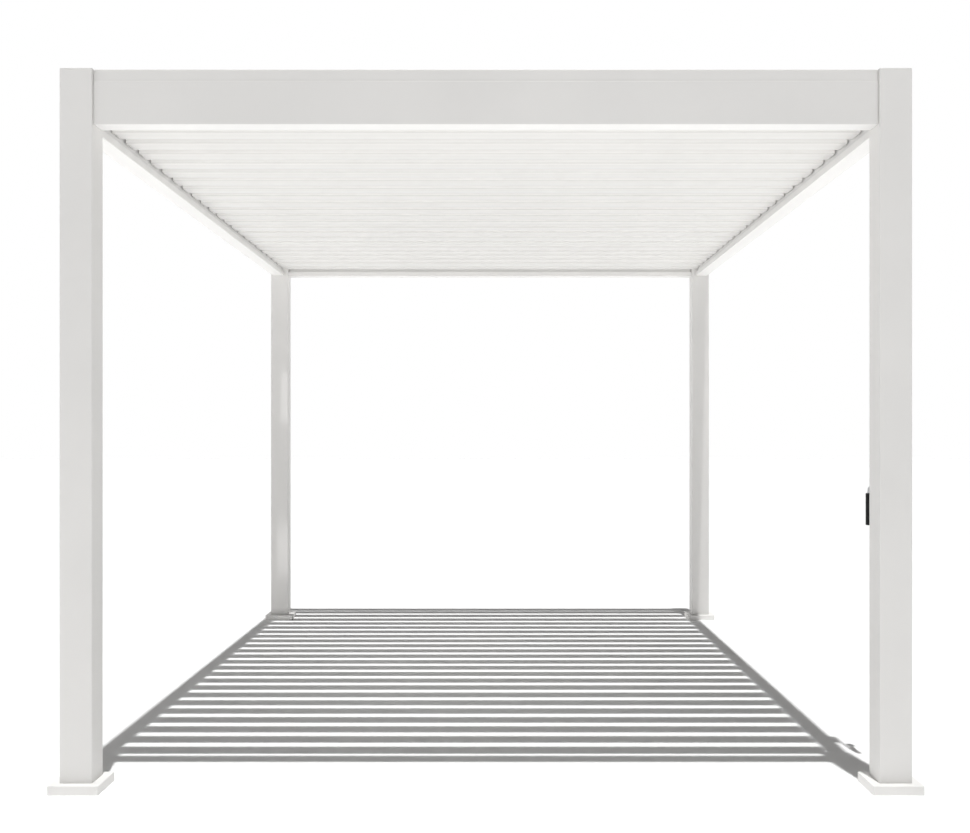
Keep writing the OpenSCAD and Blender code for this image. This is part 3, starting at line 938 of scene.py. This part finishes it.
shape = bmesh.new()
for side in (-1, 1):
    reach = (-pin_left if side < 0 else lever_in) - louvre_end
    turned(shape, sideways((side * louvre_end, 0, 0), side), [
        (0, pin_collar_in), (pin_collar_r - pin_collar_edge, pin_collar_in),
        (pin_collar_r, pin_collar_in + pin_collar_edge),
        (pin_collar_r, pin_collar_out - pin_collar_edge),
        (pin_collar_r - pin_collar_edge, pin_collar_out), (pin_r, pin_collar_out),
        (pin_r, reach - pin_edge), (pin_r - pin_edge, reach), (0, reach),
    ])
    for end in (-1, 1):
        seat = sideways((side * louvre_end, end * cap_screw_y, cap_screw_z), side)
        pan_head(shape, seat, cap_screw_d, cap_screw_h)
pin_mesh = new_mesh("louvre_pins", shape, stainless)

# Cut flat from 4 mm aluminium and anodised: the levers, and the link bar they pull
anodised, tree, surface = new_finish("anodised_aluminium")
drawing = noise(tree, 60.0, 4.0)
rolling = noise(tree, 900.0, 2.0)
tone = tinted(tree, drawing, (0.60, 0.61, 0.62), (0.70, 0.71, 0.72))
dressed(tree, surface, tone, spread(tree, rolling, 0.34, 0.50), raised(tree, rolling, 0.00001))
surface.inputs["Metallic"].default_value = 0.85
surface.inputs["Anisotropic"].default_value = 0.4

lever_r = 0.040
lever_lean = radians(45)
lever_t = 0.004
lever_break = 0.0004
hub_r = 0.009
hub_steps = 18
arm_half = 0.005
end_r = 0.007
end_steps = 14
rivet_y = -lever_r * sin(lever_lean)
rivet_z = lever_r * cos(lever_lean)
lever_out = lever_in + lever_t


def lever_outline():
    """A hub and a smaller eye joined by an arm, leaning to the front."""
    points = []
    leave = asin(arm_half / hub_r)
    for step in range(hub_steps + 1):
        turn = leave + (2 * pi - 2 * leave) * step / hub_steps
        points.append((hub_r * cos(turn), hub_r * sin(turn)))
    meet = pi - asin(arm_half / end_r)
    for step in range(end_steps + 1):
        turn = -meet + 2 * meet * step / end_steps
        points.append((lever_r + end_r * cos(turn), end_r * sin(turn)))
    lean = pi / 2 + lever_lean
    return [(s * cos(lean) - t * sin(lean), s * sin(lean) + t * cos(lean)) for s, t in points]


shape = bmesh.new()
extruded(shape, turning, lever_outline(), [], lever_in, lever_out)
lever_mesh = new_mesh("louvre_lever", shape, anodised)

# The rivet's shank and its riveted face, from inside the lever outwards
rivet_l = rivet_top - lever_out
shape = bmesh.new()
turned(shape, sideways((lever_out, rivet_y, rivet_z)), [
    (0, -0.001), (0.003, -0.001), (0.003, rivet_l - 0.0015), (0.0047, rivet_l - 0.0015),
    (0.0050, rivet_l - 0.0011), (0.0042, rivet_l - 0.0004), (0.0024, rivet_l), (0, rivet_l),
])
rivet_mesh = new_mesh("lever_rivet", shape, stainless)

# The screw and washer that hold the lever on its pin
hub = sideways((lever_out, 0, 0))
hub_washer_t = 0.0013
hub_screw_d = 0.0095
hub_screw_h = 0.0034
shape = bmesh.new()
turned(shape, hub, [
    (0, 0), (0.0070, 0), (0.0070, 0.0010), (0.0066, hub_washer_t), (0, hub_washer_t),
])
pan_head(shape, hub @ Matrix.Translation((0, 0, hub_washer_t)), hub_screw_d, hub_screw_h)
hub_screw_mesh = new_mesh("lever_hub_screw", shape, stainless)

# One louvre has the drive shaft in place of that screw
drive_louvre = "louvre_02"
drive_shaft_r = 0.006
drive_shaft_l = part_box(drive_louvre)[1].x - lever_out
shape = bmesh.new()
turned(shape, hub, [
    (0, -0.0005), (drive_shaft_r, -0.0005), (drive_shaft_r, drive_shaft_l - 0.001),
    (drive_shaft_r - 0.001, drive_shaft_l), (0, drive_shaft_l),
])
drive_shaft_mesh = new_mesh("drive_shaft", shape, stainless)

for name in louvres:
    kit = [
        ("slat", slat_mesh, "powder_white"), ("end_caps", cap_mesh, "powder_white"),
        ("pins", pin_mesh, "bare_steel"), ("lever", lever_mesh, "bare_steel"),
        ("rivet", rivet_mesh, "bare_steel"),
    ]
    if name == drive_louvre:
        kit.append(("drive_shaft", drive_shaft_mesh, "bare_steel"))
    else:
        kit.append(("hub_screw", hub_screw_mesh, "bare_steel"))
    for label, mesh, slot in kit:
        edge = lever_break if label == "lever" else 0.0
        piece = new_piece(name + "_" + label, mesh, name, edge)
        piece.location = (0, pivots[name].y, pivots[name].z)
        if label == "slat":
            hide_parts(name)


# ---- Link bar --------------------------------------------------------------------------
# A flat anodised aluminium bar that joins the levers, so that all louvres turn together.
# It is drilled for the rivets and has rounded ends.
rivet_bore_r = 0.00305
rivet_bore_steps = 16
bar_end_r = 0.0079
bar_break = 0.0005

low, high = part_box("link_bar")
bores = [bored(pivots[name].y + rivet_y, pivots[name].z + rivet_z, rivet_bore_r, rivet_bore_steps)
         for name in louvres]
outline = slab(low.y, low.z, high.y, high.z, bar_end_r, 6)
shape = bmesh.new()
extruded(shape, turning, outline, bores, low.x, high.x)
bar = new_piece("link_bar_drilled", new_mesh("link_bar", shape, anodised), "link_bar",
                bar_break)
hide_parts("link_bar")


# ---- Gearbox ---------------------------------------------------------------------------
# A die-cast worm gearbox screwed to the outer face of the right beam, coated white. A
# round lid covers the wheel, and the crank's spindle turns in the neck below.
flange_plate_t = 0.005
flange_corner = 0.014
body_in = 0.0055
body_draft = 0.006
lid_r = 0.028
lid_t = 0.002
neck_r = 0.011
neck_l = 0.008
lid_edge = 0.0008
lid_rim = 0.006
lid_dish = 0.0006
flange_screw_y = 0.0415
flange_screw_z = 0.033
flange_screw_d = 0.0056
flange_screw_h = 0.0020
lid_screw_ring_r = 0.0245
lid_screw_d = 0.0045
lid_screw_h = 0.0016
lid_screw_sunk = 0.0018

low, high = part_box("crank_gearbox")
drive = pivots[drive_louvre]
crank_axis = Vector((pivots["crank"].x, pivots["crank"].y, 0))
gear_low = low.z + neck_l
gear_middle = (gear_low + high.z) / 2
gear_half_l = (high.y - low.y) / 2
gear_half_h = (high.z - gear_low) / 2
gear_t = high.x - low.x - lid_t
out = sideways((low.x, drive.y, gear_middle))

# From the beam outwards: how far in from the flange's edge, corner radius, how far out
gear_edge = [
    (0.0, flange_corner, 0.0), (0.0, flange_corner, flange_plate_t - 0.001),
    (0.001, flange_corner - 0.001, flange_plate_t), (body_in, flange_corner, flange_plate_t),
    (body_in + body_draft * 0.6, flange_corner, gear_t - 0.003),
    (body_in + body_draft, flange_corner - 0.003, gear_t),
]
shape = bmesh.new()
skin(shape, out, edge_rings(gear_half_l, gear_half_h, gear_edge, 0, 6))
lid_top = gear_t + lid_t
turned(shape, out, [
    (lid_r, gear_t - 0.001), (lid_r, lid_top - lid_edge), (lid_r - lid_edge, lid_top),
    (lid_r - lid_rim, lid_top), (lid_r - lid_rim - lid_edge, lid_top - lid_dish),
    (0, lid_top - lid_dish),
])
turned(shape, upright((crank_axis.x, crank_axis.y, low.z)), [
    (0.0056, 0.020), (0.0056, 0.0006), (0.0062, 0), (neck_r - 0.0008, 0), (neck_r, 0.0008),
    (neck_r, 0.0055), (neck_r - 0.0012, 0.0062), (neck_r - 0.0012, 0.0070),
    (neck_r, 0.0077), (neck_r, 0.018),
])
housing = new_piece("gearbox_housing", new_mesh("gearbox_housing", shape, white_coat), "frame")
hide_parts("crank_gearbox")

shape = bmesh.new()
lid_screw_at = lid_screw_ring_r * sin(pi / 4)
for side_y, side_z in corners:
    spot = (side_y * flange_screw_y, side_z * flange_screw_z, flange_plate_t)
    pan_head(shape, out @ Matrix.Translation(spot), flange_screw_d, flange_screw_h)
    spot = (side_y * lid_screw_at, side_z * lid_screw_at, lid_top - lid_screw_sunk)
    pan_head(shape, out @ Matrix.Translation(spot), lid_screw_d, lid_screw_h)
new_piece("gearbox_screws", new_mesh("gearbox_screws", shape, stainless), "frame")

# A rubber grommet lines the hole where the drive shaft passes the beam
black_rubber, tree, surface = new_finish("black_rubber")
bloom = noise(tree, 300.0, 3.0)
tone = tinted(tree, bloom, (0.018, 0.018, 0.019), (0.032, 0.032, 0.033))
dressed(tree, surface, tone, spread(tree, bloom, 0.55, 0.75), raised(tree, bloom, 0.00003))

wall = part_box("beam_right")[1].x - beam_box_w
shape = bmesh.new()
turned(shape, sideways((wall, drive.y, drive.z)), [
    (0.0064, -0.0018), (0.0072, -0.0026), (0.0110, -0.0026), (0.0118, -0.0018),
    (0.0118, 0.0001), (0.0085, 0.0001), (0.0085, 0.0035), (0.0064, 0.0035),
], closed=True)
new_piece("drive_shaft_grommet", new_mesh("drive_shaft_grommet", shape, black_rubber), "frame")


# ---- Crank eye -------------------------------------------------------------------------
# The worm's stainless spindle, flattened and bored to an eye that the crank hooks into.
wire_r = 0.0025
eye_r = 0.006
spindle_r = 0.005
eye_steps = 32


def wire(shape, points, radii, side, steps=12, closed=False):
    """A round wire along a flat path; side is square to the path's plane."""
    rings = []
    count = len(points)
    for k, (point, radius) in enumerate(zip(points, radii)):
        if closed:
            ahead = points[(k + 1) % count] - points[k - 1]
        else:
            ahead = points[min(k + 1, count - 1)] - points[max(k - 1, 0)]
        lift = side.cross(ahead.normalized())
        ring = []
        for step in range(steps):
            turn = 2 * pi * step / steps
            ring.append(shape.verts.new(point + radius * (cos(turn) * side + sin(turn) * lift)))
        rings.append(ring)
    pairs = list(zip(rings, rings[1:]))
    if closed:
        pairs.append((rings[-1], rings[0]))
    else:
        shape.faces.new(rings[0][::-1])
        shape.faces.new(rings[-1])
    for ring, following in pairs:
        for k in range(steps):
            shape.faces.new((ring[k], ring[k - 1], following[k - 1], following[k]))


low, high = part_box("crank_eye")
eye_middle = Vector((crank_axis.x, crank_axis.y, low.z + wire_r + eye_r))
shape = bmesh.new()
turns = [2 * pi * k / eye_steps for k in range(eye_steps)]
circle = [eye_middle + eye_r * Vector((0, cos(turn), sin(turn))) for turn in turns]
wire(shape, circle, [wire_r] * eye_steps, Vector((1, 0, 0)), closed=True)
spindle_l = high.z - eye_middle.z
turned(shape, upright(eye_middle), [
    (0, eye_r - 0.0004), (0.0026, eye_r), (0.0036, eye_r + 0.0010), (0.0043, eye_r + 0.0018),
    (spindle_r, eye_r + 0.0032), (spindle_r, spindle_l - 0.001),
    (spindle_r - 0.001, spindle_l), (0, spindle_l),
])
eye = new_piece("crank_eye_spindle", new_mesh("crank_eye", shape, stainless), "crank")
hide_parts("crank_eye")


# ---- Crank rod -------------------------------------------------------------------------
# A bare steel rod, drawn down to a hook at the top and bent twice lower down, so that the
# grip turns on a radius of 140 mm.
rod_r = 0.006
arm_reach = 0.140
arm_top = 1.105
arm_drop = 0.058
bend_r = 0.018
bend_steps = 8
hook_turn = radians(290)
hook_steps = 36
neck_overlap = 0.008
straight_l = 0.5
rod_chamfer = 0.001
stub_hidden = 0.007

# Bright-drawn steel with drawing lines along the rod and a dull protective film
drawn_steel, tree, surface = new_finish("drawn_steel")
film = noise(tree, 14.0, 4.0)
lines = noise(tree, 700.0, 2.0)
tone = tinted(tree, film, (0.50, 0.51, 0.52), (0.62, 0.63, 0.64))
dressed(tree, surface, tone, spread(tree, lines, 0.32, 0.48), raised(tree, lines, 0.00001))
surface.inputs["Metallic"].default_value = 0.8

low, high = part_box("crank_rod")
hook_middle = Vector((crank_axis.x, crank_axis.y, high.z - wire_r - eye_r))
shape = bmesh.new()
turns = [hook_turn * step / hook_steps for step in range(hook_steps + 1)]
path = [hook_middle + eye_r * Vector((sin(turn), 0, -cos(turn))) for turn in turns]
taper = [wire_r] * (hook_steps - 1) + [wire_r * 0.94, wire_r * 0.6]
wire(shape, path, taper, Vector((0, 1, 0)))
rod_top = hook_middle.z - eye_r
turned(shape, upright((crank_axis.x, crank_axis.y, rod_top)), [
    (0, 0.0020), (0.0022, 0.0014), (0.0030, 0), (0.0036, -0.0012), (0.0052, -0.0050),
    (rod_r, -0.0090), (rod_r, -0.0120), (0, -0.0120),
])
slope = asin(arm_drop / (arm_drop ** 2 + arm_reach ** 2) ** 0.5)
arm_turn = pi / 2 - slope
tangent = bend_r * tan(arm_turn / 2)
stub_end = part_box("crank_grips")[0].z + stub_hidden
path = [Vector((0, 0, rod_top - neck_overlap)), Vector((0, 0, rod_top - straight_l))]
for step in range(bend_steps + 1):
    turn = arm_turn * step / bend_steps
    path.append(Vector((0, bend_r * (1 - cos(turn)), arm_top + tangent - bend_r * sin(turn))))
for step in range(bend_steps + 1):
    turn = arm_turn * (1 - step / bend_steps)
    path.append(Vector((0, arm_reach - bend_r * (1 - cos(turn)),
                        arm_top - arm_drop - tangent + bend_r * sin(turn))))
path.append(Vector((0, arm_reach, stub_end + rod_chamfer)))
path.append(Vector((0, arm_reach, stub_end)))
radii = [rod_r] * (len(path) - 1) + [rod_r - rod_chamfer]
wire(shape, [crank_axis + point for point in path], radii, Vector((1, 0, 0)), 20)
rod = new_piece("crank_rod_bent", new_mesh("crank_rod", shape, drawn_steel), "crank")
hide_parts("crank_rod")


# ---- Grips -----------------------------------------------------------------------------
# A moulded black grip that turns on the end of the arm and a long sleeve on the rod above
# it. Both have shallow rings for the hand and a collar at each end.
grip_r = 0.0125
grip_l = 0.126
sleeve_r = 0.011
sleeve_l = 0.430
grip_bore_r = 0.0061
grip_mouth = 0.0006
grip_collar = 0.012
ring_pitch = 0.006
ring_depth = 0.0005

# An end: how far in, how far along. A ring: how deep, in which share of its pitch
grip_end = [(0.003, 0.0), (0.0012, 0.0008), (0.0, 0.003)]
grip_ring = [(ring_depth, 0.10), (ring_depth, 0.30), (0.0, 0.45), (0.0, 0.95)]

# Black polypropylene with a fine spark-eroded texture
black_plastic, tree, surface = new_finish("black_polypropylene")
grain = noise(tree, 800.0, 3.0)
wear = noise(tree, 25.0, 4.0)
tone = tinted(tree, wear, (0.006, 0.006, 0.0065), (0.011, 0.011, 0.0115))
dressed(tree, surface, tone, spread(tree, wear, 0.38, 0.55), raised(tree, grain, 0.00005))
surface.inputs["Specular IOR Level"].default_value = 0.2


def grip_profile(radius, length, shut):
    """A grip's outline from its lower end up, ringed between two plain collars."""
    line = [(0, 0)] if shut else [(grip_bore_r, grip_mouth)]
    line += [(radius - inset, along) for inset, along in grip_end]
    line.append((radius, grip_collar))
    ringed = length - 2 * grip_collar
    count = round(ringed / ring_pitch)
    step = ringed / count
    for k in range(count):
        start = grip_collar + ringed * k / count
        line += [(radius - depth, start + step * share) for depth, share in grip_ring]
    line += [(radius - inset, length - along) for inset, along in reversed(grip_end)]
    line.append((grip_bore_r, length - grip_mouth))
    return line + ([(grip_bore_r, length - grip_collar)] if shut else [])


low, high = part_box("crank_grips")
shape = bmesh.new()
turned(shape, upright((crank_axis.x, crank_axis.y + arm_reach, low.z)),
       grip_profile(grip_r, grip_l, True))
grip = new_piece("crank_grip", new_mesh("crank_grip", shape, black_plastic), "crank")
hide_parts("crank_grips")
shape = bmesh.new()
turned(shape, upright((crank_axis.x, crank_axis.y, high.z - sleeve_l)),
       grip_profile(sleeve_r, sleeve_l, False), closed=True)
new_piece("crank_sleeve", new_mesh("crank_sleeve", shape, black_plastic), "crank")
